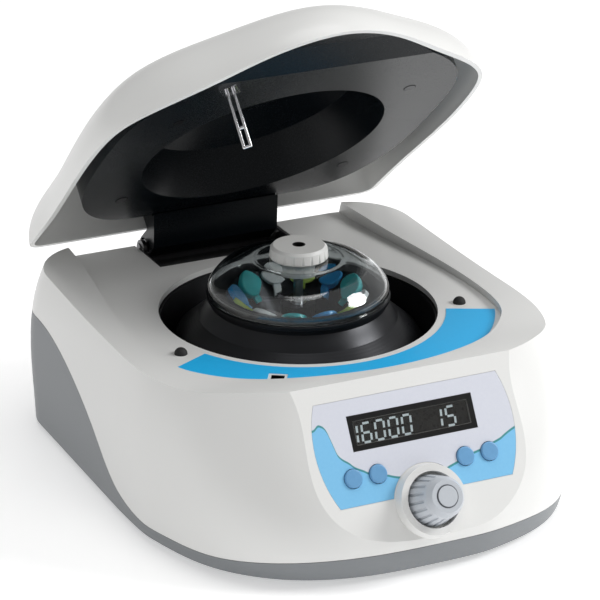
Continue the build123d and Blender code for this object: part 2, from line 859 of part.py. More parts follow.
def lid_dome(inset=0.0):
    """The lid's outer form as one solid, from below its rim to its crown."""
    rim = deck_height + 4.0
    rise = lid_rise + 3.0 - inset
    sections = []
    for angle in (0, 18, 34, 48, 60, 70, 78, 84):
        turn = math.radians(angle)
        size = math.cos(turn) ** (2 / lid_roundness)
        height = rise * math.sin(turn) ** (2 / lid_roundness)
        face = Pos(0, -lid_crown_y, 0) * lid_outline(inset)
        face = scale(face, by=(size, size, 1))
        sections.append(Pos(0, lid_crown_y, rim + height) * face)
    return loft(sections)


def opened(shape):
    """Turn a shape of the closed lid about the hinge to the open rest position."""
    place = Pos(0, hinge_y, hinge_height)
    back = Pos(0, -hinge_y, -hinge_height)
    return place * Rot(-lid_open_angle, 0, 0) * back * shape


def lid_shell():
    """White lid: a domed shell with its rim cut to the housing's top edge, and screw bosses."""
    shell = lid_dome()
    hollow = lid_dome(lid_wall)
    shell -= hollow
    cutter = below_top_edge(lid_gap)
    shell -= cutter
    for x, y in liner_screw_places:
        boss = cylinder_up(4.0, 60, x, y, deck_height + liner_height + liner_wall + 0.1)
        boss -= cylinder_up(1.3, 14, x, y, deck_height + liner_height)
        shell += boss & hollow
    return shell


def liner_profile(offset=0.0):
    """The space above the liner's underside, which steps up over the high front console."""
    base = deck_height + liner_height + offset
    points = [(140, base), (-86, base), (-102, base + 6.5), (-130, base + 6.5), (-130, 200), (140, 200)]
    face = Plane.YZ * make_face(Polyline(*points, close=True))
    return extrude(face, amount=160, both=True)


def liner_outline(inset=0.0):
    """Outline of the black liner inside the lid."""
    half = [
        (50 - inset, 91 - inset),
        (72 - inset, 82 - inset),
        (88 - inset, 58),
        (94.5 - inset, 24),
        (95 - inset, -20),
        (90 - inset, -50),
        (70 - inset * 0.7, -78 + inset * 0.7),
        (32, -104 + inset),
        (0, -114 + inset),
    ]
    curve = Spline(mirrored(half))
    return make_face([curve, Line((-half[0][0], half[0][1]), half[0])])


def lid_liner():
    """Black tray in the lid: a flange with turned-up edges and a deep round dish."""
    tray = extrude(liner_outline(), amount=60)
    tray = Pos(0, 0, deck_height + 2) * tray & liner_profile()
    core = Pos(0, 0, deck_height + 2) * extrude(liner_outline(liner_wall), amount=90)
    tray -= core & liner_profile(liner_wall)
    tray -= box_up(400, 400, 60, 0, 0, deck_height + liner_height + 13)
    base = deck_height + liner_height
    top = base + dish_depth
    t = liner_wall
    dish = make_face(Plane.XZ * Polyline(
        (0, top), (dish_top_radius, top), (dish_radius - 6, top - 12), (dish_radius + t, base),
        (dish_radius + t + 3, base), (dish_radius + t + 3, base + t), (dish_radius + 2 * t, base + t),
        (dish_radius - 6 + t, top - 12 + t), (dish_top_radius + t, top + t), (0, top + t), close=True))
    dish = Pos(0, dish_y, 0) * revolve(dish, axis=Axis.Z)
    tray -= cylinder_up(dish_radius + t, 40, 0, dish_y, deck_height)
    tray += dish
    tray &= lid_dome(lid_wall + 0.3)
    tray -= box_up(2 * hinge_block_half_width + 0.6, 40, 30, 0, hinge_y - 6.8, base - 1)
    for x, y in liner_screw_places:
        tray -= cylinder_up(1.8, 30, x, y, deck_height)
        tray -= cylinder_up(3.4, 1.0, x, y, base)
    return tray


def liner_screws():
    """Four screws that hold the liner to the lid's bosses."""
    screws = []
    base = deck_height + liner_height
    for x, y in liner_screw_places:
        screw = cylinder_up(3.0, 1.2, x, y, base - 0.2)
        screw += cylinder_up(1.3, 10, x, y, base + 1)
        screws.append(screw)
    return Compound(screws)


def lid_striker():
    """Chrome striker: two bars joined at the tip, on a small foot under the liner."""
    base = deck_height + liner_height
    half_gap = 1.7
    rod = 0.8
    tip = base - striker_length
    foot = box_up(9, 12, 1.2, 0, 0, base - 1.2)
    bars = foot
    for side in (-1, 1):
        bars += cylinder_up(rod, striker_length - 2, side * half_gap, 0, tip + 1.8)
    bars += Pos(0, 0, tip + 1.8) * Rot(0, 90, 0) * Cylinder(rod, 2 * half_gap)
    bars += Pos(0, 0, tip + 12.0) * Rot(0, 90, 0) * Cylinder(rod, 2 * half_gap)
    for side in (-1, 1):
        bars += Pos(side * half_gap, 0, tip + 1.8) * Sphere(rod)
    return Pos(slot_x, slot_y + striker_shift, 0) * Rot(0, 0, -slot_turn) * bars


def hinge_block():
    """Black block that joins the lid's liner to the hinge pin."""
    z = hinge_height
    top = deck_height + liner_height
    outline = [
        (hinge_y - 26, top - 0.6),
        (hinge_y - 12, z - hinge_barrel_radius),
        (hinge_y, z - hinge_barrel_radius),
        (hinge_y, z + hinge_barrel_radius),
        (hinge_y - 11, z + hinge_barrel_radius),
        (hinge_y - 11, top + 10),
        (hinge_y - 23, top + 10),
        (hinge_y - 23, top - 0.6),
    ]
    face = Plane.YZ * make_face(Polyline(*outline, close=True))
    block = extrude(face, amount=hinge_block_half_width, both=True)
    barrel = Cylinder(hinge_barrel_radius, 2 * hinge_block_half_width)
    block += Pos(0, hinge_y, z) * Rot(0, 90, 0) * barrel
    for side in (-1, 1):
        pocket = Cylinder(hinge_barrel_radius - 0.8, 14)
        block -= Pos(side * (hinge_block_half_width - 6.9), hinge_y, z) * Rot(0, 90, 0) * pocket
    block -= Pos(0, hinge_y, z) * Rot(0, 90, 0) * Cylinder(hinge_pin_radius + 0.05, 200)
    return block


def hinge_pin():
    """Steel pin across the notch."""
    return Pos(0, hinge_y, hinge_height) * Rot(0, 90, 0) * Cylinder(hinge_pin_radius, 80.8)


def hinge_bracket():
    """Bent steel bracket with two ears that hold the pin."""
    floor = deck_height - notch_depth + 1.6
    half = hinge_block_half_width + 1.0
    bracket = box_up(2 * half + 4, 22, 1.6, 0, hinge_y - 9, floor)
    for side in (-1, 1):
        ear = box_up(2.0, 12, hinge_height - floor, side * (half + 1.0), hinge_y - 4, floor)
        ear += Pos(side * (half + 1.0), hinge_y - 2, hinge_height) * Rot(0, 90, 0) * Cylinder(5.0, 2.0)
        bracket += ear
    bracket -= Pos(0, hinge_y, hinge_height) * Rot(0, 90, 0) * Cylinder(hinge_pin_radius, 200)
    return bracket


def hinge_trough():
    """Black tray that lines the notch behind the deck."""
    floor = deck_height - notch_depth
    half = notch_half_width - 0.2
    front = notch_front_y + 0.2
    length = 30.0
    tray = box_up(2 * half, length, notch_depth - 0.4, 0, front + length / 2, floor + 0.1)
    tray -= box_up(2 * half - 2.4, length, notch_depth, 0, front + length / 2 + 1.2, floor + 1.5)
    return tray


def torsion_springs():
    """Two coiled springs on the pin inside the hinge block's end pockets."""
    springs = []
    for side in (-1, 1):
        coil = Cylinder(4.2, 11) - Cylinder(hinge_pin_radius + 0.3, 12)
        for i in range(6):
            groove = Cylinder(5, 0.5) - Cylinder(3.7, 0.6)
            coil -= Pos(0, 0, -4.5 + 1.8 * i) * groove
        place = Pos(side * (hinge_block_half_width - 6.0), hinge_y, hinge_height)
        springs.append(place * Rot(0, 90, 0) * coil)
    return Compound(springs)


def mains_inlet():
    """Three-pin appliance inlet in the rear wall."""
    z = rear_fitting_height + inlet_height / 2
    flange = Pos(inlet_x, rear_face_y + 1.0, z) * Box(inlet_width, 2.0, inlet_height)
    body = Pos(inlet_x, rear_face_y - 12, z) * Box(inlet_width - 6, 24, inlet_height - 6)
    inlet = flange + body
    inlet -= Pos(inlet_x, rear_face_y - 6, z) * Box(25, 22, 16.5)
    for x, up in ((-7, -1.5), (7, -1.5), (0, 2.5)):
        inlet += Pos(inlet_x + x, rear_face_y - 10, z + up) * Box(2.0, 15, 4.0)
    return inlet


def switch_frame():
    """Frame of the power switch in the rear wall."""
    z = rear_fitting_height + inlet_height / 2
    frame = Pos(switch_x, rear_face_y + 1.0, z) * Box(switch_width, 2.0, inlet_height)
    frame += Pos(switch_x, rear_face_y - 9, z) * Box(switch_width - 6, 18, inlet_height - 6)
    frame -= Pos(switch_x, rear_face_y - 3, z) * Box(switch_width - 9, 14, inlet_height - 9)
    return frame


def power_rocker():
    """Rocker of the power switch, curved on its face, on a cross pin."""
    z = rear_fitting_height + inlet_height / 2
    width = switch_width - 9.6
    height = inlet_height - 11.0
    body = Box(width, 9, height)
    body &= Pos(0, -rocker_radius + 4.5, 0) * Rot(0, 90, 0) * Cylinder(rocker_radius, 40)
    dish = Pos(0, 18, 0) * Rot(0, 90, 0) * Cylinder(15.5, 40)
    body -= dish
    return Pos(switch_x, rear_face_y - 1.6, z) * Rot(5, 0, 0) * body


def drive_board():
    """Circuit board with the motor drive, on the pan's posts beside the motor."""
    width = board_outer_x - board_inner_x
    middle = (board_outer_x + board_inner_x) / 2
    board = box_up(width, 2 * drive_board_half_length, board_thickness, middle, 0, drive_board_height)
    for x, y in board_posts:
        board -= cylinder_up(1.6, 10, x, y, drive_board_height - 4)
    return board


def board_parts():
    """Larger components on the drive board: capacitors, a transformer and a heat sink."""
    z = drive_board_height + board_thickness
    parts = []
    for y in (-30, -10):
        parts.append(cylinder_up(8, 21, board_outer_x - 12, y, z))
    parts.append(box_up(26, 24, 19, board_outer_x - 16, 24, z))
    sink_x = (board_inner_x + board_outer_x) / 2 - 14
    sink = box_up(8, 60, 20, sink_x, -4, z)
    for i in range(7):
        sink -= box_up(4.5, 3.5, 30, sink_x + 2, -30 + i * 8.6, z + 3)
    parts.append(sink)
    return Compound(parts)


def solenoid():
    """Small solenoid beside the latch frame that draws the bolt back."""
    z = deck_height - bolt_drop
    body = Box(12, 15, 12)
    place = Pos(slot_x, slot_y, z) * Rot(0, 0, -slot_turn)
    return place * Pos(13.7, 0, 0) * body


def write(name, shape):
    """Write one sub-part, moved so that the frame's origin is under the machine's middle."""
    export_step(Pos(0, spindle_y, 0) * shape, "parts/" + name + ".step")


def main():
    os.makedirs("parts", exist_ok=True)
    write("upper_housing", upper_housing())
    write("base_pan", base_pan())
    write("rubber_feet", rubber_feet())
    write("housing_screws", housing_screws())
    write("rotor_bowl", rotor_bowl())
    write("bowl_gasket", bowl_gasket())
    write("guard_ring", guard_ring())
    write("motor_plate", motor_plate())
    write("motor_dampers", motor_dampers())
    write("plate_screws", plate_screws())
    write("motor_can", motor_can())
    write("motor_screws", motor_screws())
    write("motor_shaft", motor_shaft())
    write("rotor_body", rotor_body())
    for start, colour in enumerate(("teal", "blue", "green", "natural")):
        write("tubes_" + colour, tube_group(start))
    write("rotor_lid", rotor_lid())
    write("rotor_knob", rotor_knob())
    write("deck_label", deck_label())
    write("deck_bumpers", deck_bumpers())
    write("panel_overlay", panel_overlay())
    write("display_window", display_window())
    write("display_module", display_module())
    write("control_board", control_board())
    write("board_screws", board_screws())
    write("button_switches", button_switches())
    names = ("left_outer", "left_inner", "right_inner", "right_outer")
    for name, x in zip(names, button_places):
        write("button_" + name, button(x))
    write("encoder_body", encoder_body())
    write("encoder_shaft", encoder_shaft())
    write("front_knob", front_knob())
    write("knob_cap", knob_cap())
    write("latch_frame", latch_frame())
    write("latch_bolt", latch_bolt())
    write("latch_solenoid", solenoid())
    write("lid_shell", opened(lid_shell()))
    write("lid_liner", opened(lid_liner()))
    write("liner_screws", opened(liner_screws()))
    write("lid_striker", opened(lid_striker()))
    write("hinge_block", opened(hinge_block()))
    write("hinge_pin", hinge_pin())
    write("hinge_bracket", hinge_bracket())
    write("hinge_trough", hinge_trough())
    write("torsion_springs", torsion_springs())
    write("mains_inlet", mains_inlet())
    write("switch_frame", switch_frame())
    write("power_rocker", power_rocker())
    write("drive_board", drive_board())
    write("board_parts", board_parts())


main()
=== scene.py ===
# %% [markdown]
# # Dressing a small laboratory centrifuge
# The machine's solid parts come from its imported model. They stay where they are, and this
# lesson gives them their finishes and adds two thin pieces that only the eye needs: the
# display's figures and a low lip behind the hinge. Places are in metres with +Z up and the
# front panel towards -Y. Measures on the front panel are in millimetres.

import math

import bmesh
import bpy
from mathutils import Matrix, Vector


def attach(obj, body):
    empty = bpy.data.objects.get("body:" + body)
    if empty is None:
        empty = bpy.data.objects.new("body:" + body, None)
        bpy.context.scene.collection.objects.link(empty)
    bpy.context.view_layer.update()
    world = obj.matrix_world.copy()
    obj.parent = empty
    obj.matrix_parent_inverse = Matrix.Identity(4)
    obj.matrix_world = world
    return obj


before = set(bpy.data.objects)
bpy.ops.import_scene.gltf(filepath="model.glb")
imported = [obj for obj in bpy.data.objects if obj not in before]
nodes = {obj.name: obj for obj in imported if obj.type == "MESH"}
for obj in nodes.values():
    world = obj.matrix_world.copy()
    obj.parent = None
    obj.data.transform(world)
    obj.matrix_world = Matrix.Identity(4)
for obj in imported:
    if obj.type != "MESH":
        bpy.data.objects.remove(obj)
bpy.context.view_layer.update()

# %% [markdown]
# ## Where things are
# A few places are shared by many pieces: the rotor's axis, the deck and the sloped front
# panel. They are written once here, in the same terms as the solid model.

# %% Shared places
SPINDLE_Y = 0.02195
DECK = 0.084
MM = 0.001
PANEL_LEAN = math.radians(60)
PANEL_POINT = Vector((0, -0.1277 + SPINDLE_Y, 0.072))
PANEL_OUT = Vector((0, -math.sin(PANEL_LEAN), math.cos(PANEL_LEAN)))
PANEL_UP = Vector((0, math.cos(PANEL_LEAN), math.sin(PANEL_LEAN)))
SCENE = bpy.context.scene


def on_panel(across, up, out=0.0):
    """A point on the front panel, from millimetres across, up the slope and out of it."""
    return PANEL_POINT + (Vector((across, 0, 0)) + PANEL_UP * up + PANEL_OUT * out) * MM


def up_panel(y, z, origin=PANEL_POINT):
    """How far up the slope a place lies from a point on the panel, in millimetres."""
    return (y - origin.y) * (PANEL_UP.y / MM) + (z - origin.z) * (PANEL_UP.z / MM)


print("panel centre", PANEL_POINT)

# %% [markdown]
# ## Camera
# The photograph is taken with a long lens from the front left, a little above the deck. A long
# lens keeps upright edges nearly parallel. The camera's own three axes are given directly, so
# that the slight roll of the picture is kept too.

# %% Make the camera
CAMERA_LENS = 202.74
CAMERA_SENSOR = 36.0
CAMERA_PLACE = Vector((-0.72087, -1.45438 + SPINDLE_Y, 0.76426))
CAMERA_RIGHT = Vector((0.897545, -0.440808, 0.010093))
CAMERA_UP = Vector((0.161044, 0.349044, 0.923165))

camera_data = bpy.data.cameras.new("camera")
camera_data.sensor_width = CAMERA_SENSOR
camera_data.lens = CAMERA_LENS
camera_data.clip_start = 0.1
camera_data.clip_end = 20.0
camera = bpy.data.objects.new("camera", camera_data)
SCENE.collection.objects.link(camera)
turn = Matrix((CAMERA_RIGHT, CAMERA_UP, CAMERA_RIGHT.cross(CAMERA_UP))).transposed().to_4x4()
camera.matrix_world = Matrix.Translation(CAMERA_PLACE) @ turn
SCENE.camera = camera
print("camera at", [round(v, 3) for v in CAMERA_PLACE])

# %% [markdown]
# ## Shader maths as plain expressions
# A finish is easier to read when its maths looks like maths. This class wraps the output of a
# shader node, and the usual operators add Math nodes behind it.


# %% The expression class
# A Mix node holds inputs for every kind of data; these are the places of its colour ones.
COLOUR_MIX_INPUTS = (0, 6, 7)
COLOUR_MIX_OUTPUT = 2


def connect(tree, item, socket):
    """Give a socket its input: a link from another node, or a plain number or colour."""
    if isinstance(item, Value):
        item = item.socket
    if isinstance(item, bpy.types.NodeSocket):
        tree.links.new(item, socket)
    else:
        socket.default_value = item


class Value:
    """A shader node's output that can be used in sums."""

    def __init__(self, tree, socket):
        self.tree = tree
        self.socket = socket

    def math(self, operation, other=None, clamp=False):
        node = self.tree.nodes.new("ShaderNodeMath")
        node.operation = operation
        node.use_clamp = clamp
        connect(self.tree, self, node.inputs[0])
        if other is not None:
            connect(self.tree, other, node.inputs[1])
        return Value(self.tree, node.outputs[0])

    def __add__(self, other):
        return self.math("ADD", other)

    def __radd__(self, other):
        return self.math("ADD", other)

    def __sub__(self, other):
        return self.math("SUBTRACT", other)

    def __rsub__(self, other):
        return (self * -1.0) + other

    def __mul__(self, other):
        return self.math("MULTIPLY", other)

    def __truediv__(self, other):
        return self.math("DIVIDE", other)

    def __abs__(self):
        return self.math("ABSOLUTE")

    def __pow__(self, other):
        return self.math("POWER", other)

    def clamped(self):
        return self.math("ADD", 0.0, clamp=True)

    def step(self, edge, soft=0.0001):
        """0 below the edge and 1 above it, with a soft change between."""
        return ((self - edge) / soft + 0.5).clamped()


class Finish:
    """A material's node tree, its coordinates and its main shader."""

    def __init__(self, material):
        self.material = material
        self.material.use_nodes = True
        self.tree = self.material.node_tree
        self.shader = self.tree.nodes["Principled BSDF"]
        self.place = self.node("ShaderNodeTexCoord").outputs["Object"]

    @classmethod
    def new(cls, name):
        """Start a material of its own."""
        return cls(bpy.data.materials.new(name))

    def node(self, kind, settings=None, **inputs):
        """Any node: its settings first, then the values or links of its sockets."""
        node = self.tree.nodes.new(kind)
        for key, item in (settings or {}).items():
            setattr(node, key, item)
        for key, item in inputs.items():
            connect(self.tree, item, node.inputs[key.replace("_", " ")])
        return node

    def axes(self):
        """The three object coordinates, in metres."""
        split = self.node("ShaderNodeSeparateXYZ", Vector=self.place)
        return [Value(self.tree, split.outputs[i]) for i in range(3)]

    def noise(self, scale, detail=2.0, roughness=0.5, place=None):
        """Noise between 0 and 1, at the object's own coordinates or at a place given."""
        node = self.node("ShaderNodeTexNoise", Vector=place or self.place, Scale=scale,
                         Detail=detail, Roughness=roughness)
        return Value(self.tree, node.outputs["Fac"])

    def mix(self, mask, first, second):
        """First colour where the mask is 0, second where it is 1."""
        node = self.tree.nodes.new("ShaderNodeMix")
        node.data_type = "RGBA"
        for i, item in zip(COLOUR_MIX_INPUTS, (mask, first, second)):
            connect(self.tree, item, node.inputs[i])
        return node.outputs[COLOUR_MIX_OUTPUT]

    def set(self, **inputs):
        """Set or link inputs of the main shader."""
        for key, item in inputs.items():
            connect(self.tree, item, self.shader.inputs[key.replace("_", " ")])

    def bump(self, height, distance, strength=1.0):
        """Let a height between 0 and 1 tilt the surface, as if it were so many metres deep."""
        node = self.node("ShaderNodeBump", Strength=strength, Distance=distance, Height=height)
        self.set(Normal=node.outputs["Normal"])


def rgb(red, green, blue):
    return (red, green, blue, 1.0)


def shade(colour, share):
    """A colour made lighter or darker by a share, and no lighter than white."""
    return rgb(*(min(1.0, c * share) for c in colour))


print("expression class ready")

# %% [markdown]
# ## Moulded plastics
# The housing, the lid and the base are injection moulded. The white parts are smooth, with a
# very faint waviness and a slight change of tone from place to place. The grey base and the
# black liner come from a spark-eroded mould, so they have a fine even grain. Slow noise makes
# the drift in tone, and fine noise makes the grain.
#
# Two of these finishes are black in one place: the housing inside its latch slot, where the black
# is painted shade on the slot's walls, and the clamp knob round its bush. A mask of the object's
# own coordinates says where.

# %% Moulded plastics
HOUSING_WHITE = (0.80, 0.80, 0.785)
# Painted shade on the latch slot's walls; the same black is the rotor knob's own bush.
SLOT_SHADE_AND_BUSH_BLACK = rgb(0.006, 0.006, 0.006)
SLOT_PLACE = (-0.0499, -0.078 + SPINDLE_Y)
SLOT_TURN = math.radians(32)
SLOT_HALF = (0.0036, 0.0060)
SLOT_DROP = 0.0003
BUSH_RADIUS = 0.0034


def moulded(name, colour, rough, grain_size, grain_depth, tone=0.03, coat=0.0, specular=0.5):
    """A moulded plastic: tone drifts slowly, roughness varies, and the grain is a bump."""
    finish = Finish.new(name)
    drift = finish.noise(9.0, 3.0)
    fine = finish.noise(grain_size, 2.0)
    finish.set(Base_Color=finish.mix(drift, shade(colour, 1 - tone), shade(colour, 1 + tone)))
    finish.set(Roughness=rough + (drift - 0.5) * 0.10 + (fine - 0.5) * 0.06)
    finish.set(Coat_Weight=coat, Coat_Roughness=0.12, Specular_IOR_Level=specular)
    finish.bump(fine, grain_depth)
    return finish.material


white_plastic = moulded("lid_white", HOUSING_WHITE, 0.34, 900.0, 0.00002, 0.012, 0.15)
base_plastic = moulded("base_grey", (0.215, 0.228, 0.24), 0.44, 2600.0, 0.00006, 0.03)
liner_plastic = moulded("liner_black", (0.004, 0.006, 0.008), 0.27, 2400.0, 0.00003, 0.10,
                        specular=0.20)
trough_plastic = moulded("trough_black", (0.018, 0.018, 0.02), 0.5, 2400.0, 0.00005, 0.10)
part_plastic = moulded("part_black", (0.02, 0.02, 0.022), 0.38, 1800.0, 0.00003, 0.10)
rubber = moulded("rubber_black", (0.012, 0.012, 0.012), 0.72, 3000.0, 0.00008, 0.15)


def slot_shade_mask(x, y, z):
    """1 on the walls of the latch slot, below the deck's face, where shade is painted black."""
    east = x - SLOT_PLACE[0]
    north = y - SLOT_PLACE[1]
    across = east * math.cos(SLOT_TURN) - north * math.sin(SLOT_TURN)
    along = east * math.sin(SLOT_TURN) + north * math.cos(SLOT_TURN)
    inside = (SLOT_HALF[0] - abs(across)).step(0.0) * (SLOT_HALF[1] - abs(along)).step(0.0)
    return inside * (DECK - SLOT_DROP - z).step(0.0)


def bush_mask(x, y, _z):
    """1 close to the rotor's axis, at any height, where the clamp knob's black bush shows."""
    north = y - SPINDLE_Y
    radius = (x * x + north * north) ** 0.5
    return (BUSH_RADIUS - radius).step(0.0)


def darkened(material, mask_of):
    """Make a finish black where a mask of its object coordinates is 1."""
    finish = Finish(material)
    mask = mask_of(*finish.axes())
    colour = finish.shader.inputs["Base Color"].links[0].from_socket
    finish.set(Base_Color=finish.mix(mask, colour, SLOT_SHADE_AND_BUSH_BLACK))
    return material


# The housing gets painted shade, in black, on the walls of its latch slot.
housing_slot_shaded = darkened(
    moulded("housing_white", HOUSING_WHITE, 0.34, 900.0, 0.00002, 0.012, 0.15), slot_shade_mask)
knob_white = darkened(
    moulded("knob_white", (0.78, 0.78, 0.76), 0.38, 2200.0, 0.00003, 0.02), bush_mask)
print("moulded finishes ready")

# %% [markdown]
# ## The knob
# The control knob and its cap are satin grey. A thin dark ring marks the joint between them,
# so the finish measures the distance from the knob's own axis.


# %% The knob's finish
KNOB_DROP = 39.5
KNOB_RING_RADIUS = 5.5
KNOB_RING_WIDTH = 0.7
RING_SOFTNESS = 0.15


def knob_plastic():
    """Satin grey, with a thin dark ring round the cap."""
    finish = Finish.new("knob_grey")
    x, y, z = finish.axes()
    up = up_panel(y, z, on_panel(0, -KNOB_DROP))
    across = x / MM
    radius = (across * across + up * up) ** 0.5
    dark = (KNOB_RING_WIDTH / 2 - abs(radius - KNOB_RING_RADIUS)).step(0.0, RING_SOFTNESS)
    fine = finish.noise(1500.0)
    grey = finish.mix(fine, rgb(0.50, 0.53, 0.57), rgb(0.56, 0.59, 0.63))
    finish.set(Base_Color=finish.mix(dark, grey, rgb(0.12, 0.13, 0.15)))
    finish.set(Roughness=0.36 + fine * 0.08)
    finish.bump(fine, 0.00002)
    return finish.material


knob_grey = knob_plastic()
print("knob ring radius", KNOB_RING_RADIUS)

# %% [markdown]
# ## Metals
# Turned metal shows fine rings round its axis. The rings are a wave of the distance from the
# rotor's axis and of the height, so that upright walls get rings too. They feed the roughness
# and a shallow bump, and noise breaks them up. Sheet metal has a grain that runs one way.


# %% Metals
RING_PITCH = 0.0006
RING_DEPTH = 0.000012
RING_RISE = 0.7


def turned(name, colour, rough, metallic=1.0):
    """Metal turned on a lathe about the rotor's axis."""
    finish = Finish.new(name)
    x, y, z = finish.axes()
    north = y - SPINDLE_Y
    radius = (x * x + north * north) ** 0.5
    rings = ((radius + z * RING_RISE) * (2 * math.pi / RING_PITCH)).math("SINE") * 0.5 + 0.5
    cloud = finish.noise(60.0, 3.0)
    finish.set(Base_Color=finish.mix(cloud, shade(colour, 0.86), rgb(*colour)))
    finish.set(Metallic=metallic, Roughness=rough + rings * 0.06 + (cloud - 0.5) * 0.12)
    finish.bump(rings, RING_DEPTH, 0.6)
    return finish.material


def brushed(name, colour, rough, stretch=(1.0, 1.0, 30.0)):
    """Sheet metal with a fine one-way grain."""
    finish = Finish.new(name)
    mapping = finish.node("ShaderNodeMapping", Vector=finish.place, Scale=stretch)
    grain = finish.noise(120.0, 4.0, 0.6, mapping.outputs["Vector"])
    finish.set(Base_Color=finish.mix(grain, shade(colour, 0.8), rgb(*colour)))
    finish.set(Metallic=1.0, Roughness=rough + (grain - 0.5) * 0.2)
    finish.bump(grain, 0.00001)
    return finish.material


bowl_metal = turned("bowl_black", (0.03, 0.031, 0.034), 0.30, 0.5)
rotor_metal = turned("rotor_black", (0.02, 0.021, 0.024), 0.30, 0.6)
motor_metal = turned("motor_metal", (0.48, 0.49, 0.51), 0.40)
steel = brushed("steel", (0.56, 0.56, 0.57), 0.30)
chrome = brushed("chrome_bar", (0.80, 0.80, 0.82), 0.12, (30.0, 30.0, 1.0))
screw_metal = brushed("screw_steel", (0.62, 0.62, 0.64), 0.22, (1.0, 1.0, 1.0))
screw_black = brushed("screw_black", (0.05, 0.05, 0.055), 0.40, (1.0, 1.0, 1.0))
hinge_steel = brushed("hinge_steel", (0.12, 0.12, 0.125), 0.38)
print("metal finishes ready")

# %% [markdown]
# ## Clear plastic
# The rotor lid and the display window are clear. They let light through with a plastic's
# index of refraction, and the lid keeps a little haze where hands have wiped it. The window is
# printed black behind, except for the display's opening.


# %% Clear plastics
CLEAR_HAZE = 0.02
WINDOW_CLEAR_HALF = (31.8, 6.1)
WINDOW_SOFTNESS = 0.1


def clear_lid_plastic():
    """Clear plastic, hazier where it was wiped."""
    finish = Finish.new("clear_lid")
    wipe = finish.noise(30.0, 4.0)
    finish.set(Base_Color=rgb(0.93, 0.97, 0.98), Transmission_Weight=1.0, IOR=1.5)
    finish.set(Coat_Weight=0.6, Coat_Roughness=0.04, Roughness=CLEAR_HAZE + wipe * CLEAR_HAZE)
    return finish.material


def window_plastic():
    """A tinted window whose border is printed black behind, as far as the display's opening."""
    finish = Finish.new("window_clear")
    x, y, z = finish.axes()
    beside = (abs(x / MM) - WINDOW_CLEAR_HALF[0]).step(0.0, WINDOW_SOFTNESS)
    above = (abs(up_panel(y, z)) - WINDOW_CLEAR_HALF[1]).step(0.0, WINDOW_SOFTNESS)
    border = (beside + above).clamped()
    finish.set(Base_Color=finish.mix(border, rgb(0.62, 0.62, 0.61), rgb(0.012, 0.012, 0.013)))
    finish.set(Roughness=0.05 + border * 0.25, Transmission_Weight=1.0, IOR=1.47)
    return finish.material


lid_clear = clear_lid_plastic()
window_clear = window_plastic()
print("clear finishes ready")

# %% [markdown]
# ## Printed sheets
# The deck label is one flat blue. The panel sheet is pale, with a light blue swoosh along its
# lower edge and a thin dark green line on the swoosh's border. The border is a curve given by
# a few heights along the panel, which a colour ramp turns into a smooth function. The buttons,
# the display's face and the boards get a plain printed tone too, and the tube caps come in
# four colours of moulded plastic.

# %% Printed sheets
# Each pair is millimetres across the panel and up its slope.
SWOOSH = [(-56.0, 5.0), (-53.0, 5.0), (-49.5, 6.7), (-46.0, 2.2), (-43.5, -8.5), (-37.0, -15.2),
          (-29.9, -20.0), (-18.2, -23.7), (-8.0, -26.5), (8.0, -26.5), (14.2, -25.2), (24.0, -22.0),
          (38.9, -18.7), (47.0, -15.6), (56.0, -11.8)]
SWOOSH_SPAN = 56.0
SWOOSH_LOW = -34.0
SWOOSH_RANGE = 48.0
SWOOSH_LINE = 0.55


def printed_panel():
    """The pale sheet with its swoosh and the dark line on the swoosh's border."""
    finish = Finish.new("overlay_print")
    x, y, z = finish.axes()
    ramp = finish.node("ShaderNodeValToRGB", Fac=(x / MM) / (2 * SWOOSH_SPAN) + 0.5)
    stops = ramp.color_ramp.elements
    ramp.color_ramp.interpolation = "CARDINAL"
    while len(stops) < len(SWOOSH):
        stops.new(0.5)
    for stop, (where, height) in zip(stops, SWOOSH):
        stop.position = (where + SWOOSH_SPAN) / (2 * SWOOSH_SPAN)
        level = (height - SWOOSH_LOW) / SWOOSH_RANGE
        stop.color = rgb(level, level, level)
    edge = Value(finish.tree, ramp.outputs["Color"]) * SWOOSH_RANGE + SWOOSH_LOW
    under = edge - up_panel(y, z)
    below = under.step(0.0, 0.25)
    line = (SWOOSH_LINE - abs(under)).step(0.0, 0.35)
    fibre = finish.noise(700.0, 2.0)
    pale = finish.mix(fibre, rgb(0.66, 0.68, 0.76), rgb(0.70, 0.72, 0.79))
    blue = finish.mix(fibre, rgb(0.20, 0.53, 0.83), rgb(0.23, 0.57, 0.86))
    colour = finish.mix(below, pale, blue)
    finish.set(Base_Color=finish.mix(line, colour, rgb(0.05, 0.28, 0.30)))
    finish.set(Roughness=0.36 + fibre * 0.05)
    finish.bump(fibre, 0.00001)
    return finish.material


def printed_plain(name, first, second, rough):
    """A sheet of one printed tone, with the faint dots of the print."""
    finish = Finish.new(name)
    dots = finish.noise(500.0, 2.0)
    finish.set(Base_Color=finish.mix(dots, first, second), Roughness=rough + dots * 0.06)
    finish.bump(dots, 0.00001)
    return finish.material


panel_print = printed_panel()
label_print = printed_plain("label_blue", rgb(0.02, 0.47, 0.90), rgb(0.03, 0.51, 0.95), 0.30)
button_blue = printed_plain("button_blue", rgb(0.13, 0.33, 0.58), rgb(0.16, 0.38, 0.64), 0.30)
display_dark = printed_plain("display_dark", rgb(0.045, 0.042, 0.038), rgb(0.05, 0.047, 0.042),
                             0.25)
board_green = printed_plain("board_green", rgb(0.01, 0.09, 0.04), rgb(0.02, 0.13, 0.06), 0.45)
cap_colours = {
    "teal": (0.04, 0.60, 0.62),
    "blue": (0.05, 0.38, 0.82),
    "green": (0.55, 0.72, 0.14),
    "natural": (0.86, 0.88, 0.87),
}
tube_finishes = {
    name: moulded("tube_" + name, colour, 0.28, 1500.0, 0.00002, 0.05)
    for name, colour in cap_colours.items()
}
print("printed finishes ready, tube finishes", len(tube_finishes))

# %% [markdown]
# ## Finishes for the solids
# Each finish names the solids that wear it. Only their material slots change. The cell ends
# with the names of any solids that were left out.

